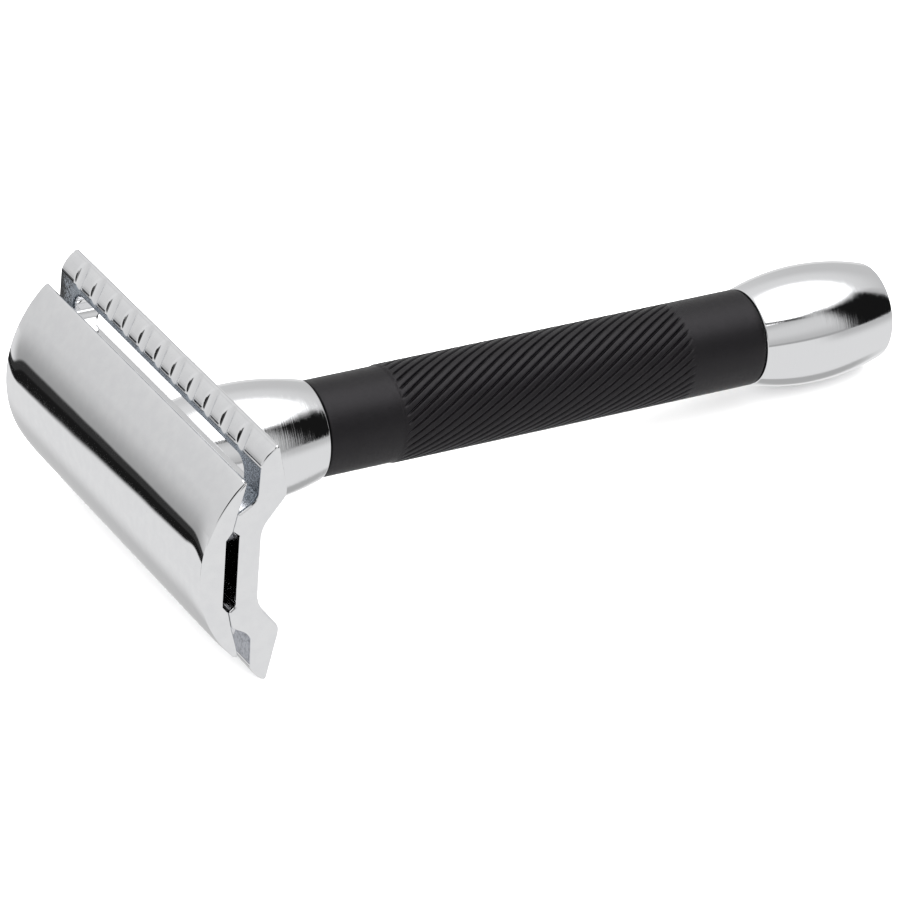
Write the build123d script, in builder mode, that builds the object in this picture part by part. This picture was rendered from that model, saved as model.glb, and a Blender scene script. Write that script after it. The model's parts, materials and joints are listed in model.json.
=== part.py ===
from build123d import *
import os
from math import asin, atan2, cos, hypot, sin, sqrt

# Double-edge safety razor whose twist knob screws the cap on to the base plate.
# It lies on a table: +Z up, +X from the head towards the knob, +Y along the cutting
# edges, with the origin under the middle of the whole razor, on the table.
# Lengths are millimetres. A "station" is a distance along the handle axis from the
# flat back of the base plate, positive towards the knob. A "height" is a distance
# across the head, square to that axis.

os.makedirs("parts", exist_ok=True)

# ---------------------------------------------------------------- head, across
HEAD_LENGTH = 41.5
CAP_CROWN_STATION = -6.13
CAP_ARC_RADIUS = 13.02
CAP_RECESS_STATION = -3.53
CAP_RECESS_HEIGHT = 3.5
CAP_LIP_OUTER = (-2.42, 9.13)
CAP_LIP_TIP = (-1.97, 9.5)
CAP_LIP_INNER = (-1.69, 9.22)
CAP_UNDERSIDE_BOW = (-2.05, 7.7)
CAP_END_ROUNDING = 0.15

LAND_INNER = (-2.9, 4.25)
LAND_OUTER = (-2.5, 6.05)
LAND_GAP = 0.04
PLATFORM_STATION = -2.26
PLATFORM_HEIGHT = 3.7
TROUGH_WALL_FOOT = (-1.45, 6.65)
TROUGH_WALL_BEND = (-0.75, 7.25)
TROUGH_FLOOR_STATION = -0.45
TROUGH_FLOOR_START = 7.9
BAR_FRONT_HEIGHT = 10.65
BAR_TIP_STATION = 1.12
BAR_TIP_HEIGHT = 12.06
BAR_TIP_ROUNDING = 0.35
BAR_NOSE_BEND = (0.02, 11.46)
BAR_NOSE_END = (0.86, 12.24)
BAR_TIP_BACK = (1.46, 12.14)
BAR_HEEL_TOP = (2.32, 8.1)
BAR_HEEL_BEND = (2.4, 7.3)
BAR_HEEL_FOOT = (2.12, 6.55)
BACK_SLOPE_FOOT = (0.42, 4.45)
BACK_SLOPE_BEND = (0.1, 3.95)
BACK_FLAT_HEIGHT = 3.4

# ------------------------------------------------- drain slots and comb notches
SLOT_LENGTH = 35.0
SLOT_INNER_HEIGHT = 6.1
SLOT_OUTER_HEIGHT = 9.62
SLOT_CORNER_RADIUS = 1.5
NOTCH_COUNT = 11
NOTCH_PITCH = 3.35
NOTCH_RADIUS = 1.1
NOTCH_START = (-0.75, 9.46)
NOTCH_END = (1.05, 12.42)
NOTCH_SHIFT = 0.8
NOTCH_OFFSET = 0.44
NOTCH_OVERRUN = 0.8

# ------------------------------------------------------------ handle, along axis
NECK_END = 15.92
NECK_BULGE_STATION = 8.3
NECK_BULGE_RADIUS = 6.0
NECK_ARC_RADIUS = 28.5
NECK_SEAT_RADIUS = 5.15
NECK_BORE_RADIUS = 3.4
SLEEVE_END = 65.08
SLEEVE_FRONT_RADIUS = 4.76
SLEEVE_RADIUS = 4.86
SLEEVE_STEP_STATION = 24.1
CORE_RADIUS = 3.95
CORE_BORE_RADIUS = 3.35
FIT_GAP = 0.05
KNOB_START = 65.3
KNOB_END = 80.4
KNOB_BULGE_STATION = 72.8
KNOB_BULGE_RADIUS = 6.0
KNOB_ARC_RADIUS = 25.5
KNOB_RIM_ROUNDING = 0.3

# ------------------------------------------------------- cap's stud and its pins
THREAD_PITCH = 0.8
THREAD_START = 3.9
THREAD_ROOT_WIDTH = 0.44
THREAD_CREST_WIDTH = 0.12
THREAD_ROOT_OVERLAP = 0.1
CAP_ANCHOR_STATION = -5.2
STUD_CORE_RADIUS = 2.0
STUD_CREST_RADIUS = 2.45
STUD_END = 12.0
STUD_POINT_LENGTH = 0.5
PIN_SPACING = 28.0
PIN_RADIUS = 1.25
PIN_END = 0.0
PIN_CHAMFER = 0.3

# ------------------------------------------------ bushes, seal and thrust washer
RUNNING_GAP = 0.05
BUSH_HEAD_RADIUS = 3.35
BUSH_HEAD_END = -1.5
BUSH_RADIUS = 2.95
BUSH_END = 3.3
NECK_SEAT_DEPTH = 1.4
NECK_RIM_ROUNDING = 0.15
SPIGOT_END = 21.0
FRONT_BUSH_START = 16.4
FRONT_BUSH_END = 20.4
REAR_BUSH_START = 60.0
SEAL_POCKET_START = 63.9
SEAL_POCKET_RADIUS = 2.95
SEAL_RING_RADIUS = 2.35
SEAL_CORD_RADIUS = 0.5
WASHER_THICKNESS = 0.4
WASHER_RADIUS = 4.3

# ------------------------------------------------------------- nut, rod and clip
NUT_START = 3.6
NUT_END = 16.0
NUT_RADIUS = 3.15
NUT_BORE_RADIUS = 2.6
NUT_BORE_END = 12.4
NUT_CREST_RADIUS = 2.15
ROD_START = 12.9
ROD_END = 73.0
ROD_RADIUS = 1.75
ROD_FLAT_HEIGHT = 1.35
ROD_FLAT_START = 66.4
ROD_PIN_STATION = 14.4
ROD_PIN_RADIUS = 0.5
CLIP_GROOVE_START = 58.6
CLIP_GROOVE_END = 59.2
CLIP_GROOVE_RADIUS = 1.35
CLIP_RADIUS = 2.9
CLIP_MOUTH = 1.8
DISC_RADIUS = 3.1
DISC_THICKNESS = 0.25

# ------------------------------------------------------- knob's screw and end plug
KNOB_WEB = 1.2
KNOB_FLAT_ROOT = 0.15
SCREW_RADIUS = 1.0
SCREW_END = 68.0
SCREW_HEAD_RADIUS = 2.3
SCREW_HEAD_LENGTH = 1.7
SCREW_SLOT_WIDTH = 0.5
PLUG_RADIUS = 3.6
PLUG_THICKNESS = 1.8
PLUG_RECESS = 0.35
PLUG_ROUNDING = 0.25


def arc_radius(station_mm, bulge_station, bulge_radius, arc_radius_mm):
    """Radius of a barrel-shaped turning at a station along the handle."""
    offset = station_mm - bulge_station
    return bulge_radius - arc_radius_mm + sqrt(arc_radius_mm**2 - offset**2)


# The razor rests on the lower bar's rounded tip and on the knob's bulge. The table
# is the common tangent of those two circles, which gives the handle's tilt.
contact_run = KNOB_BULGE_STATION - BAR_TIP_STATION
contact_rise = KNOB_ARC_RADIUS - KNOB_BULGE_RADIUS + BAR_TIP_HEIGHT
radius_difference = KNOB_ARC_RADIUS - BAR_TIP_ROUNDING
TILT = atan2(contact_rise, contact_run) - asin(radius_difference / hypot(contact_run, contact_rise))

knob_rim_radius = arc_radius(KNOB_END, KNOB_BULGE_STATION, KNOB_BULGE_RADIUS, KNOB_ARC_RADIUS)
front_reach = (CAP_CROWN_STATION + CAP_ARC_RADIUS) * cos(TILT) - CAP_ARC_RADIUS
rear_reach = (
    (KNOB_END - KNOB_RIM_ROUNDING) * cos(TILT)
    + (knob_rim_radius - KNOB_RIM_ROUNDING) * sin(TILT)
    + KNOB_RIM_ROUNDING
)
head_height = BAR_TIP_STATION * sin(TILT) + BAR_TIP_HEIGHT * cos(TILT) + BAR_TIP_ROUNDING
head_origin = Vector(-(front_reach + rear_reach) / 2, 0, head_height)
along = Vector(cos(TILT), 0, -sin(TILT))
handle_axis = Axis(head_origin, along)

# Section plane through the handle axis: local X is the station, local Y the height.
section = Plane(origin=head_origin, x_dir=along, z_dir=(0, -1, 0))


def station(distance):
    """Plane square to the handle axis: local X runs along the edges, local Y up."""
    return Plane(origin=head_origin + along * distance, x_dir=(0, 1, 0), z_dir=along)


def turned(*corners, mode=Mode.ADD):
    """Add a turning about the handle axis, from its (station, radius) corners."""
    with BuildSketch(section) as profile:
        with BuildLine():
            Polyline(*corners, close=True)
        make_face()
    revolve(profile.sketch, axis=handle_axis, mode=mode)


def ring(start, end, inner, outer, mode=Mode.ADD):
    """Add a plain ring, or a disc when the inner radius is zero."""
    turned((start, inner), (end, inner), (end, outer), (start, outer), mode=mode)


def thread_ridge(start, end, root_radius, crest_radius):
    """Add one helical thread ridge, standing from its root towards its crest."""
    outwards = 1 if crest_radius > root_radius else -1
    centre = station(start).origin
    with BuildLine() as path:
        Helix(THREAD_PITCH, end - start, root_radius, center=centre, direction=along)
    outward = path.line @ 0 - centre
    start_plane = Plane(path.line @ 0, x_dir=outward, z_dir=path.line % 0)
    depth = abs(crest_radius - root_radius)
    with BuildSketch(start_plane) as ridge:
        with BuildLine():
            Polyline(
                (-outwards * THREAD_ROOT_OVERLAP, -THREAD_ROOT_WIDTH / 2),
                (outwards * depth, -THREAD_CREST_WIDTH / 2),
                (outwards * depth, THREAD_CREST_WIDTH / 2),
                (-outwards * THREAD_ROOT_OVERLAP, THREAD_ROOT_WIDTH / 2),
                close=True,
            )
        make_face()
    sweep(ridge.sketch, path=path.line, is_frenet=True)


def cross_hole(centre_station, centre_y, radius, depth, mode=Mode.ADD):
    """Add a round pin or hole parallel to the handle axis, off its centre line."""
    with BuildSketch(station(centre_station)) as disc:
        with Locations((centre_y, 0)):
            Circle(radius)
    extrude(disc.sketch, amount=depth, mode=mode)


# ================================================================ cap, with its stud
with BuildPart() as top_cap:
    with BuildSketch(section):
        with BuildLine():
            Polyline(
                (CAP_RECESS_STATION, 0),
                (CAP_RECESS_STATION, CAP_RECESS_HEIGHT),
                (LAND_INNER[0] - LAND_GAP, LAND_INNER[1]),
                (LAND_OUTER[0] - LAND_GAP, LAND_OUTER[1]),
            )
            ThreePointArc((LAND_OUTER[0] - LAND_GAP, LAND_OUTER[1]), CAP_UNDERSIDE_BOW, CAP_LIP_INNER)
            ThreePointArc(CAP_LIP_INNER, CAP_LIP_TIP, CAP_LIP_OUTER)
            RadiusArc(CAP_LIP_OUTER, (CAP_CROWN_STATION, 0), -CAP_ARC_RADIUS)
            mirror(about=Plane.XZ)
        make_face()
    extrude(amount=HEAD_LENGTH / 2, both=True)
    for end_face in (top_cap.faces().sort_by(Axis.Y)[0], top_cap.faces().sort_by(Axis.Y)[-1]):
        crown_edge = end_face.edges().sort_by(SortBy.LENGTH)[-1]
        fillet(crown_edge, CAP_END_ROUNDING)
    ring(CAP_ANCHOR_STATION, CAP_RECESS_STATION, 0, STUD_CORE_RADIUS, mode=Mode.SUBTRACT)
    for pin_y in (-PIN_SPACING / 2, PIN_SPACING / 2):
        cross_hole(CAP_ANCHOR_STATION, pin_y, PIN_RADIUS, -CAP_ANCHOR_STATION, mode=Mode.SUBTRACT)
top_cap.part.label = "top_cap"
export_step(top_cap.part, "parts/top_cap.step")

# The stud is cast into the cap by its plain shank and reaches down into the neck.
with BuildPart() as cap_stud:
    turned(
        (CAP_ANCHOR_STATION, 0),
        (CAP_ANCHOR_STATION, STUD_CORE_RADIUS),
        (STUD_END - STUD_POINT_LENGTH, STUD_CORE_RADIUS),
        (STUD_END, STUD_CORE_RADIUS - STUD_POINT_LENGTH),
        (STUD_END, 0),
    )
    thread_ridge(THREAD_START, STUD_END - THREAD_PITCH, STUD_CORE_RADIUS, STUD_CREST_RADIUS)
cap_stud.part.label = "cap_stud"
export_step(cap_stud.part, "parts/cap_stud.step")

# Two pins pass through the blade's slot and keep the cap from turning.
for side, pin_y in (("left", -PIN_SPACING / 2), ("right", PIN_SPACING / 2)):
    with BuildPart() as locating_pin:
        cross_hole(CAP_ANCHOR_STATION, pin_y, PIN_RADIUS, PIN_END - CAP_ANCHOR_STATION)
        tip_edges = locating_pin.edges().sort_by(Axis.X)[-1]
        chamfer(tip_edges, PIN_CHAMFER)
    locating_pin.part.label = f"locating_pin_{side}"
    export_step(locating_pin.part, f"parts/locating_pin_{side}.step")

# ==================================================== base plate with its two bars
with BuildPart() as base_plate:
    with BuildSketch(section):
        with BuildLine():
            Polyline(
                (PLATFORM_STATION, 0),
                (PLATFORM_STATION, PLATFORM_HEIGHT),
                LAND_INNER,
                LAND_OUTER,
                TROUGH_WALL_FOOT,
            )
            ThreePointArc(TROUGH_WALL_FOOT, TROUGH_WALL_BEND, (TROUGH_FLOOR_STATION, TROUGH_FLOOR_START))
            Line((TROUGH_FLOOR_STATION, TROUGH_FLOOR_START), (TROUGH_FLOOR_STATION, BAR_FRONT_HEIGHT))
            ThreePointArc((TROUGH_FLOOR_STATION, BAR_FRONT_HEIGHT), BAR_NOSE_BEND, BAR_NOSE_END)
            ThreePointArc(BAR_NOSE_END, (BAR_TIP_STATION, BAR_TIP_HEIGHT + BAR_TIP_ROUNDING), BAR_TIP_BACK)
            Line(BAR_TIP_BACK, BAR_HEEL_TOP)
            ThreePointArc(BAR_HEEL_TOP, BAR_HEEL_BEND, BAR_HEEL_FOOT)
            Line(BAR_HEEL_FOOT, BACK_SLOPE_FOOT)
            ThreePointArc(BACK_SLOPE_FOOT, BACK_SLOPE_BEND, (0, BACK_FLAT_HEIGHT))
            Line((0, BACK_FLAT_HEIGHT), (0, 0))
            mirror(about=Plane.XZ)
        make_face()
    extrude(amount=HEAD_LENGTH / 2, both=True)
    # Round seat for the neck, and the hole for the screw bush with its counterbore.
    ring(0, NECK_SEAT_DEPTH, 0, NECK_SEAT_RADIUS, mode=Mode.SUBTRACT)
    ring(PLATFORM_STATION, BUSH_HEAD_END, 0, BUSH_HEAD_RADIUS + FIT_GAP, mode=Mode.SUBTRACT)
    ring(PLATFORM_STATION, 0, 0, BUSH_RADIUS + FIT_GAP, mode=Mode.SUBTRACT)
    for pin_y in (-PIN_SPACING / 2, PIN_SPACING / 2):
        cross_hole(PLATFORM_STATION, pin_y, PIN_RADIUS + FIT_GAP, -PLATFORM_STATION, mode=Mode.SUBTRACT)
    # One long drain slot through each trough.
    slot_width = SLOT_OUTER_HEIGHT - SLOT_INNER_HEIGHT
    slot_height = (SLOT_OUTER_HEIGHT + SLOT_INNER_HEIGHT) / 2
    with BuildSketch(station(PLATFORM_STATION)):
        with Locations((0, slot_height), (0, -slot_height)):
            RectangleRounded(SLOT_LENGTH, slot_width, SLOT_CORNER_RADIUS)
    extrude(amount=BAR_HEEL_BEND[0] - PLATFORM_STATION, mode=Mode.SUBTRACT)
    # Slanting round notches across each bar's nose; the lower bar repeats the upper
    # one turned half a turn about the handle.
    notch_run = Vector(NOTCH_SHIFT, NOTCH_END[1] - NOTCH_START[1], NOTCH_END[0] - NOTCH_START[0])
    for turn in (1, -1):
        for index in range(NOTCH_COUNT):
            start_y = (index - (NOTCH_COUNT - 1) / 2) * NOTCH_PITCH + NOTCH_OFFSET - NOTCH_SHIFT / 2
            start_point = Vector(turn * start_y, turn * NOTCH_START[1], 0)
            corner = station(NOTCH_START[0]).from_local_coords(start_point)
            reach = station(0).from_local_coords(Vector(turn * notch_run.X, turn * notch_run.Y, notch_run.Z))
            direction = (reach - head_origin).normalized()
            # The cutter's axis stands one radius off the notch's bottom line.
            outward = (section.x_dir * -(notch_run.Y) + station(0).y_dir * turn * notch_run.Z).normalized()
            cutter_origin = corner + outward * NOTCH_RADIUS - direction * NOTCH_OVERRUN
            with BuildSketch(Plane(origin=cutter_origin, z_dir=direction)):
                Circle(NOTCH_RADIUS)
            extrude(amount=notch_run.length + 2 * NOTCH_OVERRUN, mode=Mode.SUBTRACT)
base_plate.part.label = "base_plate"
export_step(base_plate.part, "parts/base_plate.step")

# ============================================================= neck and its fixing
with BuildPart() as plate_bush:
    turned(
        (PLATFORM_STATION, STUD_CREST_RADIUS + RUNNING_GAP),
        (PLATFORM_STATION, BUSH_HEAD_RADIUS),
        (BUSH_HEAD_END, BUSH_HEAD_RADIUS),
        (BUSH_HEAD_END, BUSH_RADIUS),
        (BUSH_END, BUSH_RADIUS),
        (BUSH_END, STUD_CREST_RADIUS + RUNNING_GAP),
    )
plate_bush.part.label = "plate_bush"
export_step(plate_bush.part, "parts/plate_bush.step")

with BuildPart() as neck_collar:
    neck_front_radius = arc_radius(0, NECK_BULGE_STATION, NECK_BULGE_RADIUS, NECK_ARC_RADIUS)
    neck_rear_radius = arc_radius(NECK_END, NECK_BULGE_STATION, NECK_BULGE_RADIUS, NECK_ARC_RADIUS)
    with BuildSketch(section):
        with BuildLine():
            ThreePointArc(
                (0, neck_front_radius),
                (NECK_BULGE_STATION, NECK_BULGE_RADIUS),
                (NECK_END, neck_rear_radius),
            )
            Polyline(
                (NECK_END, neck_rear_radius),
                (NECK_END, CORE_RADIUS),
                (SPIGOT_END, CORE_RADIUS),
                (SPIGOT_END, NECK_BORE_RADIUS),
                (BUSH_END, NECK_BORE_RADIUS),
                (BUSH_END, BUSH_RADIUS + FIT_GAP),
                (0, BUSH_RADIUS + FIT_GAP),
                (0, neck_front_radius),
            )
        make_face()
    revolve(axis=handle_axis)
    round_edges = neck_collar.edges().filter_by(GeomType.CIRCLE)
    rim_edges = round_edges.filter_by(lambda edge: abs(edge.radius - neck_rear_radius) < 0.01)
    fillet(rim_edges, NECK_RIM_ROUNDING)
neck_collar.part.label = "neck_collar"
export_step(neck_collar.part, "parts/neck_collar.step")

# ================================================================ handle tube
with BuildPart() as handle_sleeve:
    turned(
        (NECK_END, CORE_RADIUS + FIT_GAP),
        (NECK_END, SLEEVE_FRONT_RADIUS),
        (SLEEVE_STEP_STATION, SLEEVE_FRONT_RADIUS),
        (SLEEVE_STEP_STATION, SLEEVE_RADIUS),
        (SLEEVE_END, SLEEVE_RADIUS),
        (SLEEVE_END, CORE_RADIUS + FIT_GAP),
    )
handle_sleeve.part.label = "handle_sleeve"
export_step(handle_sleeve.part, "parts/handle_sleeve.step")

with BuildPart() as core_tube:
    ring(SPIGOT_END, REAR_BUSH_START, CORE_BORE_RADIUS, CORE_RADIUS)
core_tube.part.label = "core_tube"
export_step(core_tube.part, "parts/core_tube.step")

with BuildPart() as front_bush:
    ring(FRONT_BUSH_START, FRONT_BUSH_END, ROD_RADIUS + RUNNING_GAP, NECK_BORE_RADIUS)
front_bush.part.label = "front_bush"
export_step(front_bush.part, "parts/front_bush.step")

with BuildPart() as rear_bush:
    turned(
        (REAR_BUSH_START, ROD_RADIUS + RUNNING_GAP),
        (REAR_BUSH_START, CORE_RADIUS),
        (SLEEVE_END, CORE_RADIUS),
        (SLEEVE_END, SEAL_POCKET_RADIUS),
        (SEAL_POCKET_START, SEAL_POCKET_RADIUS),
        (SEAL_POCKET_START, ROD_RADIUS + RUNNING_GAP),
    )
rear_bush.part.label = "rear_bush"
export_step(rear_bush.part, "parts/rear_bush.step")

with BuildPart() as rod_seal:
    with BuildSketch(section):
        with Locations(((SEAL_POCKET_START + SLEEVE_END) / 2, SEAL_RING_RADIUS)):
            Circle(SEAL_CORD_RADIUS)
    revolve(axis=handle_axis)
rod_seal.part.label = "rod_seal"
export_step(rod_seal.part, "parts/rod_seal.step")

with BuildPart() as thrust_washer:
    ring(SLEEVE_END, SLEEVE_END + WASHER_THICKNESS, ROD_RADIUS + RUNNING_GAP, WASHER_RADIUS)
thrust_washer.part.label = "thrust_washer"
export_step(thrust_washer.part, "parts/thrust_washer.step")

# ============================================== drive line, turned by the knob
with BuildPart() as drive_nut:
    turned(
        (NUT_START, NUT_BORE_RADIUS),
        (NUT_START, NUT_RADIUS),
        (NUT_END, NUT_RADIUS),
        (NUT_END, ROD_RADIUS),
        (ROD_START, ROD_RADIUS),
        (ROD_START, 0),
        (NUT_BORE_END, 0),
        (NUT_BORE_END, NUT_BORE_RADIUS),
    )
    nut_thread_start = THREAD_START + THREAD_PITCH / 2
    thread_ridge(nut_thread_start, STUD_END - THREAD_PITCH, NUT_BORE_RADIUS, NUT_CREST_RADIUS)
    with BuildSketch(Plane(origin=station(ROD_PIN_STATION).origin, z_dir=(0, 1, 0))):
        Circle(ROD_PIN_RADIUS)
    extrude(amount=NUT_RADIUS, both=True, mode=Mode.SUBTRACT)
drive_nut.part.label = "drive_nut"
export_step(drive_nut.part, "parts/drive_nut.step")

with BuildPart() as rod_pin:
    with BuildSketch(Plane(origin=station(ROD_PIN_STATION).origin, z_dir=(0, 1, 0))):
        Circle(ROD_PIN_RADIUS)
    extrude(amount=NUT_RADIUS - FIT_GAP, both=True)
rod_pin.part.label = "rod_pin"
export_step(rod_pin.part, "parts/rod_pin.step")

with BuildPart() as drive_rod:
    turned(
        (ROD_START, 0),
        (ROD_START, ROD_RADIUS),
        (CLIP_GROOVE_START, ROD_RADIUS),
        (CLIP_GROOVE_START, CLIP_GROOVE_RADIUS),
        (CLIP_GROOVE_END, CLIP_GROOVE_RADIUS),
        (CLIP_GROOVE_END, ROD_RADIUS),
        (ROD_END, ROD_RADIUS),
        (ROD_END, SCREW_RADIUS),
        (SCREW_END, SCREW_RADIUS),
        (SCREW_END, 0),
    )
    with BuildSketch(Plane(origin=station(ROD_PIN_STATION).origin, z_dir=(0, 1, 0))):
        Circle(ROD_PIN_RADIUS)
    extrude(amount=NUT_RADIUS, both=True, mode=Mode.SUBTRACT)
    # A flat on the rod's rear end drives the knob.
    with BuildSketch(section):
        with Locations(((ROD_FLAT_START + ROD_END) / 2, ROD_FLAT_HEIGHT + ROD_RADIUS / 2)):
            Rectangle(ROD_END - ROD_FLAT_START, ROD_RADIUS)
    extrude(amount=ROD_RADIUS, both=True, mode=Mode.SUBTRACT)
drive_rod.part.label = "drive_rod"
export_step(drive_rod.part, "parts/drive_rod.step")

with BuildPart() as front_washer:
    ring(NUT_END + RUNNING_GAP, FRONT_BUSH_START - RUNNING_GAP, ROD_RADIUS + FIT_GAP, NUT_RADIUS)
front_washer.part.label = "front_washer"
export_step(front_washer.part, "parts/front_washer.step")

# Open spring clip in the rod's groove, with its mouth upwards.
with BuildPart() as retaining_clip:
    ring(CLIP_GROOVE_START + FIT_GAP, CLIP_GROOVE_END - FIT_GAP, CLIP_GROOVE_RADIUS, CLIP_RADIUS)
    with BuildSketch(station(CLIP_GROOVE_START)):
        with Locations((0, CLIP_RADIUS / 2)):
            Rectangle(CLIP_MOUTH, CLIP_RADIUS)
    extrude(amount=CLIP_GROOVE_END - CLIP_GROOVE_START, mode=Mode.SUBTRACT)
retaining_clip.part.label = "retaining_clip"
export_step(retaining_clip.part, "parts/retaining_clip.step")

# Dished spring washer that takes up the rod's end play against the rear bush.
with BuildPart() as disc_spring:
    turned(
        (CLIP_GROOVE_END + FIT_GAP, ROD_RADIUS + FIT_GAP),
        (CLIP_GROOVE_END + FIT_GAP + DISC_THICKNESS, ROD_RADIUS + FIT_GAP),
        (REAR_BUSH_START - FIT_GAP, DISC_RADIUS),
        (REAR_BUSH_START - FIT_GAP - DISC_THICKNESS, DISC_RADIUS),
    )
disc_spring.part.label = "disc_spring"
export_step(disc_spring.part, "parts/disc_spring.step")

# ======================================================================= knob
with BuildPart() as knob:
    knob_front_radius = arc_radius(KNOB_START, KNOB_BULGE_STATION, KNOB_BULGE_RADIUS, KNOB_ARC_RADIUS)
    with BuildSketch(section):
        with BuildLine():
            ThreePointArc(
                (KNOB_START, knob_front_radius),
                (KNOB_BULGE_STATION, KNOB_BULGE_RADIUS),
                (KNOB_END, knob_rim_radius),
            )
            Polyline(
                (KNOB_END, knob_rim_radius),
                (KNOB_END, PLUG_RADIUS),
                (ROD_END + KNOB_WEB, PLUG_RADIUS),
                (ROD_END + KNOB_WEB, SCREW_RADIUS + FIT_GAP),
                (ROD_END, SCREW_RADIUS + FIT_GAP),
                (ROD_END, ROD_RADIUS),
                (KNOB_START, ROD_RADIUS),
                (KNOB_START, knob_front_radius),
            )
        make_face()
    revolve(axis=handle_axis)
    # A flat side to the bore, which the rod's own flat drives.
    flat_length = ROD_END - ROD_FLAT_START - FIT_GAP
    flat_depth = ROD_RADIUS + KNOB_FLAT_ROOT - ROD_FLAT_HEIGHT - FIT_GAP
    with BuildSketch(section):
        with Locations((ROD_END - flat_length / 2, ROD_RADIUS + KNOB_FLAT_ROOT - flat_depth / 2)):
            Rectangle(flat_length, flat_depth)
    extrude(amount=ROD_RADIUS, both=True)
    # Shallow front pocket for the thrust washer.
    pocket_end = SLEEVE_END + WASHER_THICKNESS + RUNNING_GAP
    ring(KNOB_START, pocket_end, 0, WASHER_RADIUS + FIT_GAP, mode=Mode.SUBTRACT)
    round_edges = knob.edges().filter_by(GeomType.CIRCLE)
    rim_edges = round_edges.filter_by(lambda edge: abs(edge.radius - knob_rim_radius) < 0.01)
    fillet(rim_edges, KNOB_RIM_ROUNDING)
knob.part.label = "knob"
export_step(knob.part, "parts/knob.step")

# Slotted screw that clamps the knob to the rod's end.
with BuildPart() as knob_screw:
    turned(
        (SCREW_END + FIT_GAP, 0),
        (SCREW_END + FIT_GAP, SCREW_RADIUS),
        (ROD_END + KNOB_WEB, SCREW_RADIUS),
        (ROD_END + KNOB_WEB, SCREW_HEAD_RADIUS),
        (ROD_END + KNOB_WEB + SCREW_HEAD_LENGTH, SCREW_HEAD_RADIUS),
        (ROD_END + KNOB_WEB + SCREW_HEAD_LENGTH, 0),
    )
    with BuildSketch(station(ROD_END + KNOB_WEB + SCREW_HEAD_LENGTH)):
        Rectangle(2 * SCREW_HEAD_RADIUS, SCREW_SLOT_WIDTH)
    extrude(amount=-SCREW_HEAD_LENGTH / 2, mode=Mode.SUBTRACT)
knob_screw.part.label = "knob_screw"
export_step(knob_screw.part, "parts/knob_screw.step")

with BuildPart() as knob_end_plug:
    ring(KNOB_END - PLUG_RECESS - PLUG_THICKNESS, KNOB_END - PLUG_RECESS, 0, PLUG_RADIUS)
    outer_edge = knob_end_plug.edges().sort_by(Axis.X)[-1]
    fillet(outer_edge, PLUG_ROUNDING)
knob_end_plug.part.label = "knob_end_plug"
export_step(knob_end_plug.part, "parts/knob_end_plug.step")
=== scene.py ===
import json
from math import atan2, cos, hypot, pi, radians, sin, sqrt, tau

import bpy
import numpy as np
from mathutils import Matrix, Vector


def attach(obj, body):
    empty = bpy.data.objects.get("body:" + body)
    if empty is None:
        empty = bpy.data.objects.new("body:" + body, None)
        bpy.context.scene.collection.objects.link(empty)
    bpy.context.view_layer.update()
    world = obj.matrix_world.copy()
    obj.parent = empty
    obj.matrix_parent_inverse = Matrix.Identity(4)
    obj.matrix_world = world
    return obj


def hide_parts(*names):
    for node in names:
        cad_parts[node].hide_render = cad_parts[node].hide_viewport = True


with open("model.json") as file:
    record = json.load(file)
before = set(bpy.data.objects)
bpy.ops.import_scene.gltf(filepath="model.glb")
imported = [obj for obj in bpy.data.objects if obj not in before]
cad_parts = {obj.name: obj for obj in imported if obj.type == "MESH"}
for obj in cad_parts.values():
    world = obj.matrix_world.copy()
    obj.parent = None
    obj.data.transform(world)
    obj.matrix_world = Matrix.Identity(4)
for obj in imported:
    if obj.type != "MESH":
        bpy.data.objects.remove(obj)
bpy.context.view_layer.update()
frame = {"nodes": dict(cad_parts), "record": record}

# The looks of a double-edge safety razor lying on a table, built round its CAD frame.
# Shapes are worked out in the handle's own frame, in millimetres: x is the station
# along the handle axis from the base plate's flat back, y runs along the cutting
# edges and z is the height across the head. place() puts them into the row frame.
MM = 0.001
CRISP_ANGLE = radians(40)

# ------------------------------------------------------------- stations and radii
HEAD_LENGTH = 41.5
CAP_CROWN = -6.13
CAP_ARC_RADIUS = 13.02
PLATFORM = -2.26
SLOT_LENGTH = 35.0
SLOT_INNER = 6.1
SLOT_OUTER = 9.62
SLOT_CORNER = 1.5
TROUGH_FLOOR = -0.45
TROUGH_START = 6.3
BEVEL_START = 10.36
BEVEL_MIDDLE = 10.51
BEVEL_END = 10.64
NOTCH_COUNT = 11
NOTCH_PITCH = 3.35
NOTCH_RADIUS = 1.1
NOTCH_START = (-0.75, 9.46)
NOTCH_END = (1.05, 12.42)
NOTCH_SHIFT = 0.8
NOTCH_OFFSET = 0.44
NOTCH_OVERRUN = 0.8
NECK_END = 15.92
NECK_BULGE = 8.3
NECK_SEAT_RADIUS = 5.15
BUSH_RADIUS = 3.0
BUSH_FLANGE_RADIUS = 3.4
BARREL_RADIUS = 6.0
NECK_ARC_RADIUS = 28.5
SPIGOT_END = 21.0
SPIGOT_RADIUS = 3.95
SLEEVE_END = 65.08
SLEEVE_BORE = 4.0
BAND_RADIUS = 4.76
RIB_CREST_RADIUS = 4.86
RIB_START = 24.1
RIB_END = 57.04
RIB_COUNT = 34
RIB_TWIST = radians(6.73)
RIB_PHASE = radians(288.3) - RIB_TWIST * 24.18
RIB_DEPTH = 0.24
KNOB_START = 65.3
KNOB_BULGE = 72.8
KNOB_END = 80.4
KNOB_ARC_RADIUS = 25.5
WASHER_RECESS_END = 65.53
WASHER_RECESS_RADIUS = 4.35
ROD_BORE_END = 73.0
ROD_BORE_RADIUS = 1.75
SCREW_BORE_RADIUS = 1.05
PLUG_RECESS_FLOOR = 74.2
PLUG_RECESS_RADIUS = 3.6
PIN_SPREAD = 14.0
PIN_HOLE_RADIUS = 1.3

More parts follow.
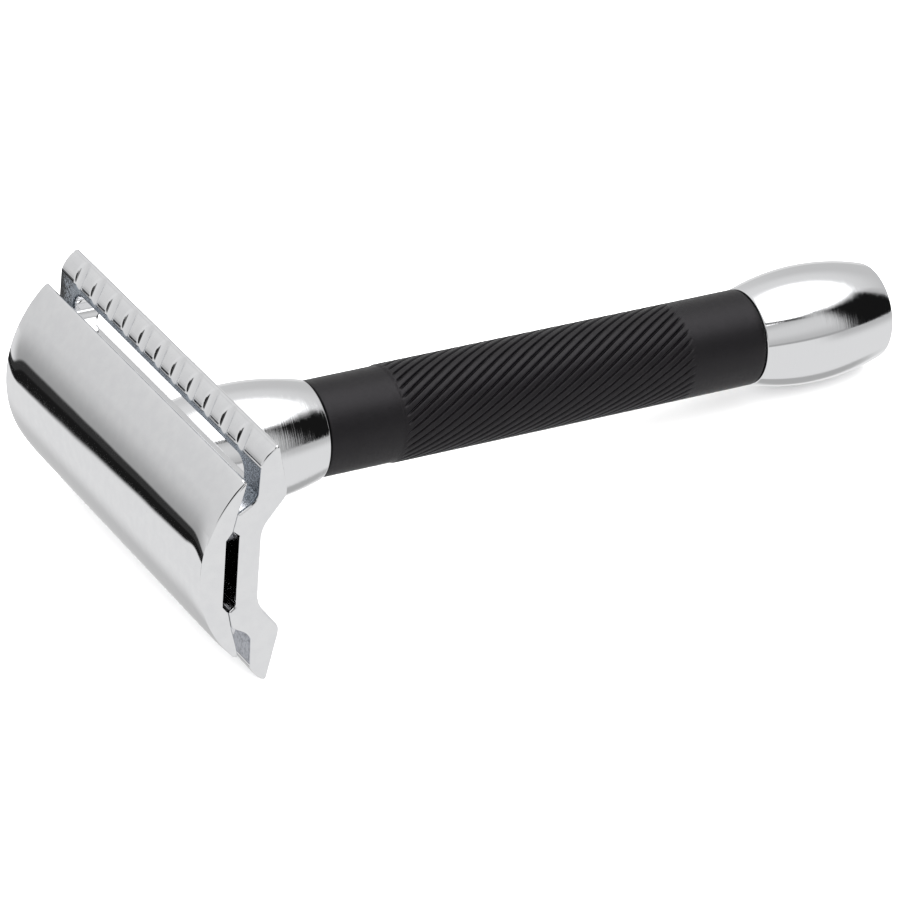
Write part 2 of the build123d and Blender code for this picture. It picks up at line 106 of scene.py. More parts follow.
# ------------------------------------------------------------------- light and camera
TABLE_FILL = 3.2  # brightness of the studio for matt surfaces
CAMERA_LENS = 201.76  # its place and directions are in the handle's frame
CAMERA_PLACE = (-194.718, -365.546, 237.376)
CAMERA_LOOK = (0.4594, 0.7393, -0.4923)
CAMERA_UP = (0.1911, 0.4590, 0.8676)

# ------------------------------------------------------------------ frame's own axes
knob_turn = next(j for j in frame["record"]["behaviour"]["joints"] if j["name"] == "knob_turn")
ALONG = Vector(knob_turn["axis"]).normalized()
ACROSS = Vector((0, 1, 0))
UPWARD = ALONG.cross(ACROSS)
ORIGIN = Vector(knob_turn["pos_m"]) - ALONG * KNOB_START * MM
AXES = np.array([ALONG, ACROSS, UPWARD])


def place(points):
    """Handle-frame millimetres to row-frame metres."""
    return np.asarray(points, float) @ AXES * MM + np.array(ORIGIN)


def aim(directions):
    """Handle-frame directions to row-frame directions."""
    return np.asarray(directions, float) @ AXES


# ======================================================================= node helpers
class Nodes:
    """Short calls for building one node tree."""

    def __init__(self, tree):
        self.tree = tree
        tree.nodes.clear()

    def new(self, kind, inputs=None, **settings):
        node = self.tree.nodes.new(kind)
        for name, value in settings.items():
            setattr(node, name, value)
        for key, value in (inputs or {}).items():
            if isinstance(value, bpy.types.NodeSocket):
                self.tree.links.new(value, node.inputs[key])
            else:
                node.inputs[key].default_value = value
        return node

    def math(self, operation, first, second=0.0):
        return self.new("ShaderNodeMath", {0: first, 1: second}, operation=operation).outputs[0]

    def ramp(self, value, start, end, low=0.0, high=1.0, smooth=True):
        """value from start to end, mapped to low to high."""
        inputs = {"Value": value, "From Min": start, "From Max": end, "To Min": low, "To Max": high}
        kind = "SMOOTHSTEP" if smooth else "LINEAR"
        return self.new("ShaderNodeMapRange", inputs, interpolation_type=kind).outputs["Result"]

    def mix(self, factor, first, second):
        """Blend of two numbers."""
        node = self.new("ShaderNodeMix", {0: factor, 2: first, 3: second}, data_type="FLOAT")
        return node.outputs[0]

    def mix_colour(self, factor, first, second):
        inputs = {0: factor, 6: first, 7: second}
        return self.new("ShaderNodeMix", inputs, data_type="RGBA").outputs[2]

    def noise(self, vector, scale, detail=2.0, roughness=0.5):
        inputs = {"Vector": vector, "Scale": scale, "Detail": detail, "Roughness": roughness}
        return self.new("ShaderNodeTexNoise", inputs).outputs["Fac"]

    def bump(self, height, strength, distance, normal=None):
        inputs = {"Height": height, "Strength": strength, "Distance": distance}
        if normal is not None:
            inputs["Normal"] = normal
        return self.new("ShaderNodeBump", inputs).outputs["Normal"]

    def position(self):
        """The point in the object's own space, in millimetres."""
        raw = self.new("ShaderNodeTexCoord").outputs["Object"]
        return self.new("ShaderNodeVectorMath", {0: raw, 3: 1 / MM}, operation="SCALE").outputs[0]

    def handle_parts(self, point):
        """Station, width and height of a point, in the handle frame, in millimetres."""
        offset = tuple(-value / MM for value in ORIGIN)
        moved = self.new("ShaderNodeVectorMath", {0: point, 1: offset}, operation="ADD").outputs[0]
        parts = []
        for axis in (ALONG, ACROSS, UPWARD):
            dot = self.new("ShaderNodeVectorMath", {0: moved, 1: tuple(axis)}, operation="DOT_PRODUCT")
            parts.append(dot.outputs["Value"])
        return parts

    def combine(self, x, y, z):
        return self.new("ShaderNodeCombineXYZ", {0: x, 1: y, 2: z}).outputs[0]


def new_material(name):
    material = bpy.data.materials.new(name)
    material.use_nodes = True
    return material, Nodes(material.node_tree)


def finish_material(nodes, colour, roughness, normal, **uniform):
    """Principled shader with its varying inputs linked and its uniform ones set."""
    inputs = {"Base Color": colour, "Roughness": roughness, "Normal": normal}
    inputs.update({name.replace("_", " "): value for name, value in uniform.items()})
    shader = nodes.new("ShaderNodeBsdfPrincipled", inputs)
    nodes.new("ShaderNodeOutputMaterial", {"Surface": shader.outputs[0]})


# ========================================================================== materials
def polished_chrome():
    """Bright plate over a buffed casting: faint polishing haze and a slight wave."""
    material, nodes = new_material("polished_chrome")
    point = nodes.position()
    haze = nodes.noise(point, 0.9, 3.0)
    wipes = nodes.noise(nodes.combine(*nodes.handle_parts(point)), 6.0, 4.0, 0.65)
    shade = nodes.ramp(haze, 0.3, 0.75)
    colour = nodes.mix_colour(shade, (0.90, 0.905, 0.92, 1), (0.935, 0.94, 0.95, 1))
    sheen = nodes.ramp(haze, 0.4, 0.8, 0.0, 0.015)
    roughness = nodes.math("ADD", nodes.ramp(wipes, 0.35, 0.8, 0.03, 0.06), sheen)
    wave = nodes.bump(nodes.noise(point, 0.12, 1.0), 0.05, 0.0003)
    normal = nodes.bump(wipes, 0.015, 0.00001, wave)
    finish_material(nodes, colour, roughness, normal, Metallic=1.0)
    return material


def cast_chrome():
    """Plate over the base plate's casting: bright outside, grainy in the troughs, with painted reflections
    in the lower trough and along the bevels.
    """
    material, nodes = new_material("cast_chrome")
    point = nodes.position()
    station, width, height = nodes.handle_parts(point)
    reach = nodes.math("ABSOLUTE", height)
    from_middle = nodes.math("ABSOLUTE", width)
    short_of_end = nodes.ramp(from_middle, HEAD_LENGTH / 2 - 0.07, HEAD_LENGTH / 2 - 0.17)
    past_land = nodes.ramp(reach, TROUGH_START, TROUGH_START + 0.6)
    in_trough = nodes.math("MULTIPLY", past_land, nodes.ramp(reach, BEVEL_START + 0.06, BEVEL_START))
    on_floor = nodes.ramp(station, TROUGH_FLOOR + 0.15, TROUGH_FLOOR + 0.07)
    in_trough = nodes.math("MULTIPLY", in_trough, on_floor)
    in_trough = nodes.math("MULTIPLY", in_trough, short_of_end)
    grain = nodes.noise(point, 3.2, 5.0, 0.6)
    haze = nodes.noise(point, 0.8, 3.0)
    shade = nodes.ramp(haze, 0.3, 0.75)
    bright = nodes.mix_colour(shade, (0.90, 0.905, 0.92, 1), (0.935, 0.94, 0.95, 1))
    # The troughs are pitted at both ends, and most of all towards +Y.
    at_end = nodes.math("MULTIPLY", in_trough, nodes.ramp(from_middle, 17.4, 18.6))
    far_end = nodes.ramp(width, -1.0, 1.0, 0.35, 1.0)
    crowding = nodes.ramp(width, 18.8, 20.4, -0.03, 0.16)
    pits = nodes.math("ADD", nodes.noise(point, 3.6, 3.0, 0.7), crowding)
    speckle = nodes.math("MULTIPLY", at_end, nodes.ramp(pits, 0.45, 0.56))
    speckle = nodes.math("MULTIPLY", speckle, far_end)
    # Painted reflection: the lower bar's trough is painted a lighter grey than the upper bar's.
    upper_bar = nodes.ramp(height, -5.0, 5.0)
    plain = nodes.mix_colour(upper_bar, (0.52, 0.54, 0.59, 1), (0.36, 0.40, 0.45, 1))
    pitted_slate_painted_reflection = nodes.mix_colour(speckle, plain, (0.02, 0.022, 0.026, 1))
    colour = nodes.mix_colour(in_trough, bright, pitted_slate_painted_reflection)
    # Painted reflection: dark lines along both sides of the bevel at each bar's front edge.
    from_bevel = nodes.math("ABSOLUTE", nodes.math("SUBTRACT", reach, BEVEL_MIDDLE))
    past_bevel = nodes.ramp(from_bevel, 0.09, 0.12)
    outline = nodes.math("MULTIPLY", past_bevel, nodes.ramp(from_bevel, 0.20, 0.17))
    on_bevel = nodes.ramp(station, TROUGH_FLOOR + 0.09, TROUGH_FLOOR + 0.06)
    outline = nodes.math("MULTIPLY", outline, on_bevel)
    outline = nodes.math("MULTIPLY", outline, short_of_end)
    colour = nodes.mix_colour(outline, colour, (0.12, 0.13, 0.15, 1))
    polish = nodes.ramp(haze, 0.35, 0.8, 0.05, 0.09)
    roughness = nodes.mix(in_trough, polish, nodes.ramp(grain, 0.3, 0.8, 0.16, 0.30))
    wave = nodes.bump(nodes.noise(point, 0.3, 1.0), 0.06, 0.0003)
    rough_height = nodes.math("MULTIPLY", grain, in_trough)
    normal = nodes.bump(rough_height, 0.35, 0.0002, wave)
    finish_material(nodes, colour, roughness, normal, Metallic=1.0)
    return material


def turned_chrome():
    """Plate over a turned barrel: fine rings, deeper on the neck, break its reflections."""
    material, nodes = new_material("turned_chrome")
    point = nodes.position()
    station = nodes.handle_parts(point)[0]
    drift = nodes.math("MULTIPLY", nodes.noise(point, 0.25, 1.0), 0.12)
    ring_point = nodes.combine(nodes.math("ADD", station, drift), 0.0, 0.0)
    depth = nodes.ramp(station, 30, 50, 1.0, 0.5)
    coarse = nodes.math("MULTIPLY", nodes.noise(ring_point, 6.5, 3.0, 0.7), depth)
    fine = nodes.noise(ring_point, 24.0, 2.0, 0.6)
    haze = nodes.noise(point, 0.9, 3.0)
    shade = nodes.ramp(fine, 0.35, 0.7)
    colour = nodes.mix_colour(shade, (0.88, 0.885, 0.90, 1), (0.94, 0.945, 0.955, 1))
    sheen = nodes.ramp(haze, 0.4, 0.8, 0.0, 0.012)
    roughness = nodes.math("ADD", nodes.ramp(fine, 0.3, 0.75, 0.015, 0.045), sheen)
    rings = nodes.bump(coarse, 0.5, 0.00003)
    normal = nodes.bump(fine, 0.35, 0.000005, rings)
    finish_material(nodes, colour, roughness, normal, Metallic=1.0)
    return material


def black_coating():
    """Satin black coat: fine grain, faint mottling and edges rubbed a little brighter."""
    material, nodes = new_material("black_coating")
    point = nodes.position()
    station, width, height = nodes.handle_parts(point)
    brushed = nodes.combine(nodes.math("MULTIPLY", station, 14.0), width, height)
    grain = nodes.noise(point, 11.0, 4.0, 0.65)
    strokes = nodes.noise(brushed, 1.2, 4.0, 0.7)
    mottle = nodes.noise(point, 0.7, 3.0)
    edge = nodes.new("ShaderNodeNewGeometry").outputs["Pointiness"]
    rubbed = nodes.math("MULTIPLY", nodes.ramp(edge, 0.52, 0.6), nodes.ramp(mottle, 0.35, 0.7))
    base = nodes.mix_colour(mottle, (0.0016, 0.0013, 0.0018, 1), (0.0028, 0.0024, 0.0031, 1))
    colour = nodes.mix_colour(nodes.math("MULTIPLY", rubbed, 0.5), base, (0.03, 0.028, 0.031, 1))
    roughness = nodes.ramp(strokes, 0.3, 0.7, 0.30, 0.48)
    normal = nodes.bump(grain, 0.35, 0.00006, nodes.bump(strokes, 0.4, 0.00005))
    tint = (0.98, 0.945, 1.0, 1.0)
    finish_material(nodes, colour, roughness, normal, Specular_IOR_Level=0.38, Specular_Tint=tint)
    return material


def machined(name, dark, light, low, high, rings_per_mm=5.0):
    """Turned metal: rings along the handle axis, with roughness between low and high."""
    material, nodes = new_material(name)
    point = nodes.position()
    station, width, height = nodes.handle_parts(point)
    sideways = [nodes.math("MULTIPLY", value, 0.04) for value in (width, height)]
    ring_point = nodes.combine(station, *sideways)
    rings = nodes.noise(ring_point, rings_per_mm, 4.0, 0.7)
    stain = nodes.noise(point, 0.5, 4.0)
    colour = nodes.mix_colour(nodes.ramp(stain, 0.3, 0.75), dark, light)
    dulled = nodes.ramp(stain, 0.4, 0.8, 0.0, 0.06)
    roughness = nodes.math("ADD", nodes.ramp(rings, 0.3, 0.75, low, high), dulled)
    normal = nodes.bump(rings, 0.4, 0.00003)
    finish_material(nodes, colour, roughness, normal, Metallic=1.0)
    return material


def moulded(name, dark, light, low, high, grain_scale):
    """Moulded plastic or rubber with a fine skin grain."""
    material, nodes = new_material(name)
    point = nodes.position()
    grain = nodes.noise(point, grain_scale, 4.0, 0.6)
    mottle = nodes.noise(point, 0.6, 3.0)
    colour = nodes.mix_colour(mottle, dark, light)
    roughness = nodes.ramp(grain, 0.3, 0.75, low, high)
    normal = nodes.bump(grain, 0.25, 0.00005)
    finish_material(nodes, colour, roughness, normal, Specular_IOR_Level=0.4)
    return material


CHROME = polished_chrome()
CAST = cast_chrome()
TURNED = turned_chrome()
COATING = black_coating()
STEEL = machined("machined_steel", (0.50, 0.50, 0.51, 1), (0.66, 0.66, 0.68, 1), 0.2, 0.34)
BRASS = machined("machined_brass", (0.62, 0.44, 0.18, 1), (0.80, 0.62, 0.30, 1), 0.18, 0.32)
NYLON = moulded("black_nylon", (0.018, 0.018, 0.019, 1), (0.03, 0.03, 0.031, 1), 0.4, 0.55, 9.0)
RUBBER = moulded("black_rubber", (0.012, 0.012, 0.012, 1), (0.022, 0.021, 0.021, 1), 0.6, 0.75, 7.0)


# ====================================================================== curves, meshes
def smooth(value, start, end):
    t = np.clip((value - start) / (end - start), 0, 1)
    return t * t * (3 - 2 * t)


def line(start, end, step=0.6):
    """Points from start to end, without the last one."""
    count = max(1, int(hypot(end[0] - start[0], end[1] - start[1]) / step))
    return [tuple(start[i] + (end[i] - start[i]) * k / count for i in (0, 1)) for k in range(count)]


def arc(start, middle, end, step=0.25):
    """Points of the arc through three points, without the last one."""
    (ax, ay), (bx, by), (cx, cy) = start, middle, end
    twice = 2 * (ax * (by - cy) + bx * (cy - ay) + cx * (ay - by))
    a2, b2, c2 = ax * ax + ay * ay, bx * bx + by * by, cx * cx + cy * cy
    ox = (a2 * (by - cy) + b2 * (cy - ay) + c2 * (ay - by)) / twice
    oy = (a2 * (cx - bx) + b2 * (ax - cx) + c2 * (bx - ax)) / twice
    radius = hypot(ax - ox, ay - oy)
    first = atan2(ay - oy, ax - ox)
    to_middle = (atan2(by - oy, bx - ox) - first) % tau
    turn = (atan2(cy - oy, cx - ox) - first) % tau
    if to_middle > turn:
        turn -= tau
    count = max(6, int(abs(turn) * radius / step))
    angles = [first + turn * k / count for k in range(count)]
    return [(ox + radius * cos(a), oy + radius * sin(a)) for a in angles]


def barrel(start, end, bulge, arc_radius, step=0.2):
    """Barrel profile from one station to another, without the last point."""
    count = int(abs(end - start) / step)
    stations = [start + (end - start) * k / count for k in range(count)]
    return [(s, barrel_radius(s, bulge, arc_radius)) for s in stations]


def barrel_radius(at, bulge, arc_radius):
    return BARREL_RADIUS - arc_radius + sqrt(arc_radius**2 - (at - bulge) ** 2)


def rounded(outline, radius, steps=5, least_turn=0.35):
    """A closed outline with each sharp corner replaced by an arc."""
    result = []
    count = len(outline)
    for k in range(count):
        before, corner, after = (np.array(outline[(k + d) % count]) for d in (-1, 0, 1))
        back, forth = before - corner, after - corner
        reach = min(np.linalg.norm(back), np.linalg.norm(forth)) * 0.49
        back, forth = back / np.linalg.norm(back), forth / np.linalg.norm(forth)
        half = np.arccos(np.clip(back @ forth, -1, 1)) / 2
        if pi - 2 * half < least_turn:
            result.append(tuple(corner))
            continue
        size = min(radius, reach * np.tan(half))
        centre = corner + (back + forth) / np.linalg.norm(back + forth) * size / np.sin(half)
        begin = corner + back * size / np.tan(half) - centre
        finish = corner + forth * size / np.tan(half) - centre
        sweep = pi - 2 * half
        for j in range(steps + 1):
            t = j / steps
            mixed = begin * np.sin((1 - t) * sweep) + finish * np.sin(t * sweep)
            result.append(tuple(centre + mixed / np.sin(sweep)))
    return result


def signed_area(outline):
    x, z = np.array(outline).T
    return np.sum(x * np.roll(z, -1) - z * np.roll(x, -1)) / 2


def outline_normals(outline):
    """Outward normals of a closed outline, from the edges beside each point."""
    points = np.array(outline)
    edges = np.roll(points, -1, 0) - points
    edges /= np.linalg.norm(edges, axis=1)[:, None]
    normals = np.stack([edges[:, 1], -edges[:, 0]], 1)
    normals *= np.sign(signed_area(outline))
    both = normals + np.roll(normals, 1, 0)
    return both / np.linalg.norm(both, axis=1)[:, None]


def grid_faces(rows, columns, closed_rows=False):
    """Quads of a grid of points stored row by row, each row a closed ring."""
    row = np.arange(rows if closed_rows else rows - 1)[:, None]
    column = np.arange(columns)[None, :]
    next_row = (row + 1) % rows
    next_column = (column + 1) % columns
    corners = [
        row * columns + column,
        row * columns + next_column,
        next_row * columns + next_column,
        next_row * columns + column,
    ]
    return np.stack(corners, -1).reshape(-1, 4)


def piece(name, points, faces, normals, material, body, replaced):
    """A finished mesh in the row frame, riding on its body in place of CAD nodes.

    Without normals of its own it is smooth but for the edges past CRISP_ANGLE.
    """
    mesh = bpy.data.meshes.new(name)
    mesh.from_pydata(place(points).tolist(), [], [tuple(face) for face in faces])
    mesh.validate()
    mesh.shade_smooth()
    if normals is None:
        mesh.set_sharp_from_angle(angle=CRISP_ANGLE)
    else:
        mesh.normals_split_custom_set_from_vertices(aim(normals).tolist())
    mesh.materials.append(material)
    made = bpy.data.objects.new(name, mesh)
    bpy.context.scene.collection.objects.link(made)
    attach(made, body)
    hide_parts(*replaced)


def turning(name, outline, material, body, replaced, segments=288):
    """A closed (station, radius) outline revolved about the handle axis."""
    profile = np.array(outline)
    profile_normals = outline_normals(outline)
    angles = np.arange(segments) * tau / segments
    around = np.stack([np.cos(angles), np.sin(angles)], 1)

    def revolved(values):
        along = np.repeat(values[:, None, :1], segments, 1)
        return np.concatenate([along, values[:, None, 1:] * around], 2).reshape(-1, 3)

    points, normals = revolved(profile), revolved(profile_normals)
    faces = oriented(points, grid_faces(len(profile), segments, closed_rows=True), normals)
    piece(name, points, faces, normals, material, body, replaced)


def oriented(points, faces, normals):
    """The same faces, all turned the way that their normals say."""
    first, second, third = (points[faces[:, k]] for k in (0, 1, 2))
    facing = np.cross(second - first, third - first)
    wrong = np.sum(facing * normals[faces[:, 0]], axis=1).sum() < 0
    return faces[:, ::-1] if wrong else faces


# ================================================================================ cap
def mirrored(half):
    """A closed outline from its upper half, which starts and ends on the mid line."""
    return half + [(x, -z) for x, z in reversed(half[1:-1])]


def make_cap():
    """Arched cap: one mirror-bright sheet form with its end arrises just broken."""
    lip_radius, crown_angle = 0.3, np.arcsin(9.3 / CAP_ARC_RADIUS)
    land_outer, land_inner, recess = (-2.54, 6.05), (-2.94, 4.25), (-3.53, 3.5)

    def on_crown(angle, radius):
        return CAP_CROWN + CAP_ARC_RADIUS - radius * cos(angle), radius * sin(angle)

    lip_x, lip_z = on_crown(crown_angle, CAP_ARC_RADIUS - lip_radius)
    lip = [(lip_x - lip_radius * cos(a), lip_z + lip_radius * sin(a)) for a in (crown_angle, 2.2, 3.6)]
    half = arc(on_crown(0, CAP_ARC_RADIUS), on_crown(crown_angle / 2, CAP_ARC_RADIUS), lip[0], 0.3)
    half += arc(*lip, 0.06)
    half += arc(lip[2], (-2.05, 7.7), land_outer, 0.3)
    half += line(land_outer, land_inner) + line(land_inner, recess) + line(recess, (recess[0], 0))
    half.append((recess[0], 0))
    outline = mirrored(half)
    flat = np.array(outline)
    flat_normals = outline_normals(outline)
    crown = smooth(-flat_normals[:, 0], 0.15, 0.5)[:, None]
    edge = smooth(np.abs(flat_normals[:, 1]), 0.85, 0.97)[:, None]
    arris, roll, roll_slope, corner = 0.24, 3.6, 0.095, 0.36
    points, normals = [], []

    def ring(side, from_end, turned_in):
        """One outline at a distance from an end; turned_in runs round the arris."""
        into_roll = max(0.0, 1 - (from_end - arris) / roll)
        into_corner = max(0.0, 1 - (from_end - arris) / corner)
        lean = crown * roll_slope * into_roll**2 + edge * np.arcsin(0.8 * into_corner)
        tilt = lean + (pi / 2 - lean) * turned_in
        inset = crown * roll_slope * roll / 3 * into_roll**3
        inset = inset + edge * corner * (1 - sqrt(1 - 0.64 * into_corner**2))
        inset = inset + arris * (1 - cos(turned_in * pi / 2))
        y = HEAD_LENGTH / 2 - from_end + arris * sin(turned_in * pi / 2)
        moved = flat - flat_normals * inset
        points.append(np.stack([moved[:, 0], np.full(len(moved), side * y), moved[:, 1]], 1))
        radial = flat_normals * np.cos(tilt)
        normals.append(np.stack([radial[:, 0], side * np.sin(tilt[:, 0]), radial[:, 1]], 1))

    half_rings = [(arris, 1 - k / 6) for k in range(7)]
    half_rings += [(arris + corner * k / 8, 0.0) for k in range(1, 9)]
    half_rings += [(arris + roll * k / 16, 0.0) for k in range(4, 17)]
    middle_rings = np.linspace(arris + roll + 2, HEAD_LENGTH / 2 - 1, 8)
    half_rings += [(from_end, 0.0) for from_end in middle_rings]
    for from_end, turned_in in half_rings:
        ring(-1, from_end, turned_in)
    for from_end, turned_in in reversed(half_rings):
        ring(1, from_end, turned_in)
    points, normals = np.concatenate(points), np.concatenate(normals)
    count = len(flat)
    faces = oriented(points, grid_faces(2 * len(half_rings), count), normals).tolist()
    lids = [list(range(count)), list(range(len(points) - count, len(points)))[::-1]]
    if signed_area(outline) < 0:
        lids = [lid[::-1] for lid in lids]
    piece("cap_shell", points, faces + lids, normals, CHROME, "cap", ["top_cap"])


# ========================================================================= base plate
def plate_half_section():
    """Outline of the plate's upper half, carried below the mid line so that it mirrors."""
    below = -6.0
    half = [(PLATFORM, below), (PLATFORM, 3.7), (-2.9, 4.25), (-2.5, 6.05)]
    half += arc((-1.45, 6.65), (-0.75, 7.25), (TROUGH_FLOOR, 7.9))
    half += [(TROUGH_FLOOR, BEVEL_START)]
    half += arc((TROUGH_FLOOR + 0.04, BEVEL_END), (0.02, 11.46), (0.86, 12.24))
    half += arc((0.86, 12.24), (1.12, 12.41), (1.46, 12.14), 0.1)
    half += [(1.46, 12.14)]
    half += arc((2.4, 7.72), (2.393, 7.1), (2.12, 6.55), 0.15)
    half += arc((0.69, 4.79), (0.178, 3.868), (0.0, 2.83), 0.2)
    half += [(0.0, below)]
    return np.array(half)


def polygon_distance(x, z, outline):
    """Signed distance to a closed outline, negative inside."""
    nearest = np.full(np.broadcast(x, z).shape, np.inf)
    inside = np.zeros(nearest.shape, bool)
    for (ax, az), (bx, bz) in zip(outline, np.roll(outline, -1, 0)):
        ex, ez = bx - ax, bz - az
        t = np.clip(((x - ax) * ex + (z - az) * ez) / (ex * ex + ez * ez), 0, 1)
        nearest = np.minimum(nearest, (x - ax - ex * t) ** 2 + (z - az - ez * t) ** 2)
        if az != bz:
            crossing = ((az > z) != (bz > z)) & (x < ex * (z - az) / ez + ax)
            inside ^= crossing
    return np.where(inside, -1, 1) * np.sqrt(nearest)


def joined(first, second, rounding):
    """Both distances at once, with an outside radius where the two meet."""
    gap = first + rounding, second + rounding
    outside = np.sqrt(np.maximum(gap[0], 0) ** 2 + np.maximum(gap[1], 0) ** 2)
    return outside + np.minimum(np.maximum(*gap), 0) - rounding


def cut(body, hole, blend):
    """body with hole taken out, its edges softened over blend."""
    overlap = np.maximum(blend - np.abs(body + hole), 0) / blend
    return np.maximum(body, -hole) + overlap**2 * blend / 4


PLATE_OUTLINE = plate_half_section()


def notch_distance(x, y, z):
    """Distance to the nearest slanting comb notch; y and z are already on the upper bar."""
    run = np.array([NOTCH_END[0] - NOTCH_START[0], NOTCH_SHIFT, NOTCH_END[1] - NOTCH_START[1]])
    outward = np.array([-run[2], 0, run[0]]) / hypot(run[0], run[2])
    start = np.array([NOTCH_START[0], NOTCH_OFFSET - NOTCH_SHIFT / 2, NOTCH_START[1]])
    start += outward * NOTCH_RADIUS
    length = np.linalg.norm(run)
    run = run / length
    limits = -NOTCH_OVERRUN, length + NOTCH_OVERRUN
    px, pz = x - start[0], z - start[2]
    progress = (px * run[0] + pz * run[2]) / (run[0] ** 2 + run[2] ** 2)
    slide = y - start[1] - np.clip(progress, *limits) * run[1]
    reach = (NOTCH_COUNT - 1) / 2
    index = np.clip(np.round(slide / NOTCH_PITCH), -reach, reach)
    py = y - start[1] - index * NOTCH_PITCH
    t = np.clip(px * run[0] + py * run[1] + pz * run[2], *limits)
    across = (px - run[0] * t) ** 2 + (py - run[1] * t) ** 2 + (pz - run[2] * t) ** 2
    return np.sqrt(across) - NOTCH_RADIUS


def plate_distance(x, y, z):
    """Signed distance to the whole base plate, with every edge a little rounded."""
    height = np.abs(z)
    side = np.where(z < 0, -1.0, 1.0)
    past_end = np.abs(y) - HEAD_LENGTH / 2
    body = joined(polygon_distance(x, height, PLATE_OUTLINE), past_end, 0.25)
    half_width = (SLOT_OUTER - SLOT_INNER) / 2
    dy = np.abs(y) - SLOT_LENGTH / 2 + SLOT_CORNER
    dz = np.abs(height - (SLOT_OUTER + SLOT_INNER) / 2) - half_width + SLOT_CORNER
    outside = np.sqrt(np.maximum(dy, 0) ** 2 + np.maximum(dz, 0) ** 2)
    slot = outside + np.minimum(np.maximum(dy, dz), 0) - SLOT_CORNER
    body = cut(body, slot, 0.35)
    body = cut(body, notch_distance(x, y * side, height), 0.1)
    radius = np.sqrt(y**2 + z**2)
    body = cut(body, np.maximum(radius - NECK_SEAT_RADIUS, -x), 0.12)
    body = cut(body, radius - BUSH_RADIUS, 0.1)
    body = cut(body, np.maximum(radius - BUSH_FLANGE_RADIUS, x + 1.5), 0.1)
    pin = np.sqrt((np.abs(y) - PIN_SPREAD) ** 2 + z**2) - PIN_HOLE_RADIUS
    return cut(body, pin, 0.15)


def slope(distance, points, reach=0.02):
    """Unit gradient of a distance at some points."""
    sides = np.array([[1, -1, -1], [-1, -1, 1], [-1, 1, -1], [1, 1, 1]], float)
    total = sum(s[None, :] * distance(*(points + s * reach).T)[:, None] for s in sides)
    return total / np.linalg.norm(total, axis=1)[:, None]


def surface_net(distance, axes):
    """Quads over a distance's zero surface, each corner moved on to it, with normals."""
    field = distance(axes[0][:, None, None], axes[1][None, :, None], axes[2][None, None, :])
    inside = field < 0
    cells = tuple(n - 1 for n in field.shape)
    total = np.zeros(cells + (3,))
    hits = np.zeros(cells)
    quads = []
    ids = np.full(cells, -1)
    corners = [(i, j, k) for i in (0, 1) for j in (0, 1) for k in (0, 1)]

    def window(array, i, j, k):
        return array[i : i + cells[0], j : j + cells[1], k : k + cells[2]]

    for i, j, k in corners:
        for axis in range(3):
            other = [i, j, k]
            if other[axis]:
                continue
            other[axis] = 1
            a, b = window(field, i, j, k), window(field, *other)
            crossed = (a < 0) != (b < 0)
            t = np.where(crossed, a / np.where(crossed, a - b, 1), 0)
            for d in range(3):
                total[..., d] += np.where(crossed, (t if d == axis else (i, j, k)[d]), 0)
            hits += crossed
    used = hits > 0
    ids[used] = np.arange(used.sum())
    places = np.argwhere(used) + total[used] / hits[used][:, None]
    columns = [np.interp(places[:, d], np.arange(len(axes[d])), axes[d]) for d in range(3)]
    points = np.stack(columns, 1)
    for axis in range(3):
        u, v = (axis + 1) % 3, (axis + 2) % 3
        edges = np.argwhere(inside != np.roll(inside, -1, axis))
        keep = (edges[:, u] > 0) & (edges[:, v] > 0) & (edges[:, axis] < cells[axis])
        keep &= (edges[:, u] < cells[u]) & (edges[:, v] < cells[v])
        edges = edges[keep]
        around = []
        for du, dv in ((0, 0), (-1, 0), (-1, -1), (0, -1)):
            shifted = edges.copy()
            shifted[:, u] += du
            shifted[:, v] += dv
            around.append(ids[tuple(shifted.T)])
        quad = np.stack(around, 1)
        outward = ~inside[tuple(edges.T)]
        quad[outward] = quad[outward][:, ::-1]
        quads.append(quad)
    faces = np.concatenate(quads)
    for _ in range(3):
        points = points - slope(distance, points) * distance(*points.T)[:, None]
    return points, faces, slope(distance, points)


def make_plate():
    """Base plate: platform, troughs, drain slots and both notched bars.

    The grid is fine over the bars and coarser over the plain middle of the plate.
    """
    reach = HEAD_LENGTH / 2 + 0.4
    width_step = 0.165
    stations = np.arange(-3.4, 2.8, 0.13)
    widths = np.arange(-reach, reach + width_step, width_step)
    bar = np.arange(5.6, 12.8, 0.14)
    heights = np.concatenate([-bar[::-1], np.arange(-5.2, 5.4, 0.4), bar])
    points, faces, normals = surface_net(plate_distance, [stations, widths, heights])
    piece("comb_plate", points, faces, normals, CAST, "handle", ["base_plate"])


# ===================================================================== neck and sleeve
def make_neck():
    """Turned neck with its spigot, which the sleeve covers."""
    front = barrel_radius(0, NECK_BULGE, NECK_ARC_RADIUS)
    rear = barrel_radius(NECK_END, NECK_BULGE, NECK_ARC_RADIUS)
    outline = barrel(0, NECK_END, NECK_BULGE, NECK_ARC_RADIUS)
    outline += [
        (NECK_END, rear),
        (NECK_END, SPIGOT_RADIUS),
        (SPIGOT_END, SPIGOT_RADIUS),
        (SPIGOT_END, BUSH_FLANGE_RADIUS),
        (3.3, BUSH_FLANGE_RADIUS),
        (3.3, BUSH_RADIUS),
        (0, BUSH_RADIUS),
    ]
    outline[0] = (0, front)
    outline = rounded(outline, 0.15)
    turning("neck_turning", outline, TURNED, "handle", ["neck_collar"])


